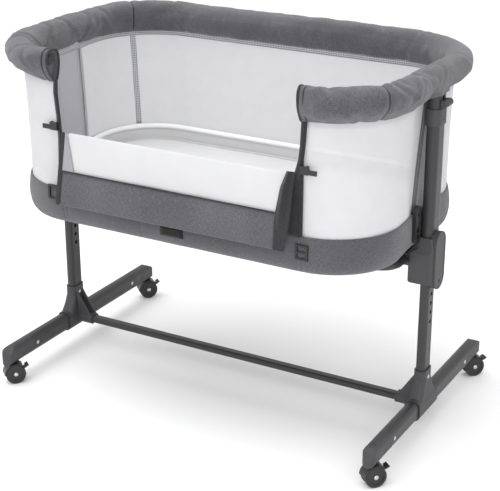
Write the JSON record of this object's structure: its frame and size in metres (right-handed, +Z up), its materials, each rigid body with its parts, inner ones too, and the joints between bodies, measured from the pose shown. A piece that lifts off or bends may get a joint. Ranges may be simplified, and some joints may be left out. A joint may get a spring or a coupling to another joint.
{
  "type": "bassinet on stand",
  "caption": "Oval bedside bassinet with mesh walls and a drop-down side, hung between two telescopic legs on feet with locking twin-wheel casters.",
  "frame": {"origin": "on the floor under the middle of the whole object's outline", "axes": "+Z up, +X along the bassinet, -Y towards the drop-down side"},
  "size_m": [0.9218, 0.6004, 0.768],
  "materials": {
    "frame_paint": "satin charcoal powder coat",
    "frame_plastic": "matte charcoal moulding",
    "black_plastic": "matte black moulding",
    "caster_plastic": "black moulding",
    "caster_wheel": "soft black tread",
    "steel": "zinc plated",
    "grey_fabric": "grey melange weave",
    "white_mesh": "white open mesh",
    "mattress_cover": "white knitted cover",
    "board": "plain hardboard",
    "zip_tape": "black woven zip tape",
    "zip_slider": "black enamel"
  },
  "bodies": {
    "stand": {"foot_tube_left": "frame_paint", "foot_tube_right": "frame_paint", "foot_cap_front_left": "frame_plastic", "foot_cap_front_right": "frame_plastic", "foot_cap_back_left": "frame_plastic", "foot_cap_back_right": "frame_plastic", "hub_left": "frame_plastic", "hub_right": "frame_plastic", "crossbar": "frame_paint", "lower_tube_left": "frame_paint", "lower_tube_right": "frame_paint", "stand_screws": "steel"},
    "caster_front_left": {"caster_front_left_fork": "caster_plastic", "caster_front_left_axle": "steel"},
    "caster_front_left_wheels": {"caster_front_left_wheels": "caster_wheel"},
    "caster_front_left_brake": {"caster_front_left_brake_lever": "caster_plastic"},
    "caster_front_right": {"caster_front_right_fork": "caster_plastic", "caster_front_right_axle": "steel"},
    "caster_front_right_wheels": {"caster_front_right_wheels": "caster_wheel"},
    "caster_front_right_brake": {"caster_front_right_brake_lever": "caster_plastic"},
    "caster_back_left": {"caster_back_left_fork": "caster_plastic", "caster_back_left_axle": "steel"},
    "caster_back_left_wheels": {"caster_back_left_wheels": "caster_wheel"},
    "caster_back_left_brake": {"caster_back_left_brake_lever": "caster_plastic"},
    "caster_back_right": {"caster_back_right_fork": "caster_plastic", "caster_back_right_axle": "steel"},
    "caster_back_right_wheels": {"caster_back_right_wheels": "caster_wheel"},
    "caster_back_right_brake": {"caster_back_right_brake_lever": "caster_plastic"},
    "right_lift": {"upper_tube_right": "frame_paint", "latch_housing_right": "frame_plastic", "latch_cover_right": "frame_plastic", "collar_right": "frame_plastic", "rail_saddle_right": "frame_plastic"},
    "left_lift": {"upper_tube_left": "frame_paint", "latch_housing_left": "frame_plastic", "latch_cover_left": "frame_plastic", "collar_left": "frame_plastic", "rail_saddle_left": "frame_plastic"},
    "base": {"base_tube": "frame_paint", "basket_tub": "grey_fabric", "base_board": "board", "mattress": "mattress_cover", "side_walls": "white_mesh", "front_wall": "white_mesh", "end_brackets": "black_plastic", "zip_tapes": "zip_tape", "strap_rings": "black_plastic"},
    "rail": {"rail_tube": "frame_paint", "rail_cover": "grey_fabric"},
    "drop_panel": {"drop_panel": "grey_fabric"},
    "zip_slider_left": {"zip_slider_left": "zip_slider"},
    "zip_slider_right": {"zip_slider_right": "zip_slider"},
    "trigger_left": {"trigger_left": "frame_plastic", "pull_strip_left": "steel"},
    "latch_pin_left": {"latch_pin_left": "steel"},
    "trigger_right": {"trigger_right": "frame_plastic", "pull_strip_right": "steel"},
    "latch_pin_right": {"latch_pin_right": "steel"}
  },
  "joints": [
    {"name": "height", "type": "slide", "parent": "stand", "child": "right_lift", "axis": [0, 0, 1], "range_m": [-0.12, 0.02]},
    {"name": "incline", "type": "hinge", "parent": "right_lift", "child": "base", "pos_m": [0.393, -0.02019, 0.385], "axis": [0, 1, 0], "range_deg": [-1.45, 1.45]},
    {"name": "left_level", "type": "slide", "parent": "right_lift", "child": "left_lift", "axis": [0, 0, 1], "range_m": [-0.0205, 0.0205]},
    {"name": "rail_shift", "type": "slide", "parent": "base", "child": "rail", "axis": [1, 0, 0], "range_m": [-0.0095, 0.0095]},
    {"name": "drop_side", "type": "hinge", "parent": "base", "child": "drop_panel", "pos_m": [0, -0.26319, 0.603], "axis": [-1, 0, 0], "range_deg": [0, 167.5]},
    {"name": "zip_left", "type": "slide", "parent": "base", "child": "zip_slider_left", "axis": [0, 0, 1], "range_m": [0, 0.075]},
    {"name": "zip_right", "type": "slide", "parent": "base", "child": "zip_slider_right", "axis": [0, 0, 1], "range_m": [0, 0.075]},
    {"name": "trigger_left_pull", "type": "slide", "parent": "left_lift", "child": "trigger_left", "axis": [0, 0, 1], "range_m": [0, 0.008], "stiffness_N_per_m": 400, "springref_m": -0.006},
    {"name": "latch_left_release", "type": "slide", "parent": "left_lift", "child": "latch_pin_left", "axis": [-1, 0, 0], "range_m": [0, 0.004]},
    {"name": "trigger_right_pull", "type": "slide", "parent": "right_lift", "child": "trigger_right", "axis": [0, 0, 1], "range_m": [0, 0.008], "stiffness_N_per_m": 400, "springref_m": -0.006},
    {"name": "latch_right_release", "type": "slide", "parent": "right_lift", "child": "latch_pin_right", "axis": [1, 0, 0], "range_m": [0, 0.004]},
    {"name": "caster_front_left_swivel", "type": "hinge", "parent": "stand", "child": "caster_front_left", "pos_m": [-0.432, -0.26019, 0.05], "axis": [0, 0, 1], "continuous": true},
    {"name": "caster_front_left_roll", "type": "hinge", "parent": "caster_front_left", "child": "caster_front_left_wheels", "pos_m": [-0.42814, -0.25559, 0.022], "axis": [-0.766, 0.6428, 0], "continuous": true},
    {"name": "caster_front_left_brake_press", "type": "hinge", "parent": "caster_front_left", "child": "caster_front_left_brake", "pos_m": [-0.4185, -0.2441, 0.03], "axis": [-0.766, 0.6428, 0], "range_deg": [0, 18]},
    {"name": "caster_front_right_swivel", "type": "hinge", "parent": "stand", "child": "caster_front_right", "pos_m": [0.432, -0.26019, 0.05], "axis": [0, 0, 1], "continuous": true},
    {"name": "caster_front_right_roll", "type": "hinge", "parent": "caster_front_right", "child": "caster_front_right_wheels", "pos_m": [0.43586, -0.25559, 0.022], "axis": [-0.766, 0.6428, 0], "continuous": true},
    {"name": "caster_front_right_brake_press", "type": "hinge", "parent": "caster_front_right", "child": "caster_front_right_brake", "pos_m": [0.4455, -0.2441, 0.03], "axis": [-0.766, 0.6428, 0], "range_deg": [0, 18]},
    {"name": "caster_back_left_swivel", "type": "hinge", "parent": "stand", "child": "caster_back_left", "pos_m": [-0.432, 0.26781, 0.05], "axis": [0, 0, 1], "continuous": true},
    {"name": "caster_back_left_roll", "type": "hinge", "parent": "caster_back_left", "child": "caster_back_left_wheels", "pos_m": [-0.42814, 0.27241, 0.022], "axis": [-0.766, 0.6428, 0], "continuous": true},
    {"name": "caster_back_left_brake_press", "type": "hinge", "parent": "caster_back_left", "child": "caster_back_left_brake", "pos_m": [-0.4185, 0.2839, 0.03], "axis": [-0.766, 0.6428, 0], "range_deg": [0, 18]},
    {"name": "caster_back_right_swivel", "type": "hinge", "parent": "stand", "child": "caster_back_right", "pos_m": [0.432, 0.26781, 0.05], "axis": [0, 0, 1], "continuous": true},
    {"name": "caster_back_right_roll", "type": "hinge", "parent": "caster_back_right", "child": "caster_back_right_wheels", "pos_m": [0.43586, 0.27241, 0.022], "axis": [-0.766, 0.6428, 0], "continuous": true},
    {"name": "caster_back_right_brake_press", "type": "hinge", "parent": "caster_back_right", "child": "caster_back_right_brake", "pos_m": [0.4455, 0.2839, 0.03], "axis": [-0.766, 0.6428, 0], "range_deg": [0, 18]}
  ],
  "couplings": [
    {"joint": "left_level", "follows": "incline", "m_per_rad": 0.802},
    {"joint": "rail_shift", "follows": "incline", "m_per_rad": -0.371},
    {"joint": "latch_right_release", "follows": "trigger_right_pull", "ratio": 0.5},
    {"joint": "latch_left_release", "follows": "trigger_left_pull", "ratio": 0.5}
  ]
}
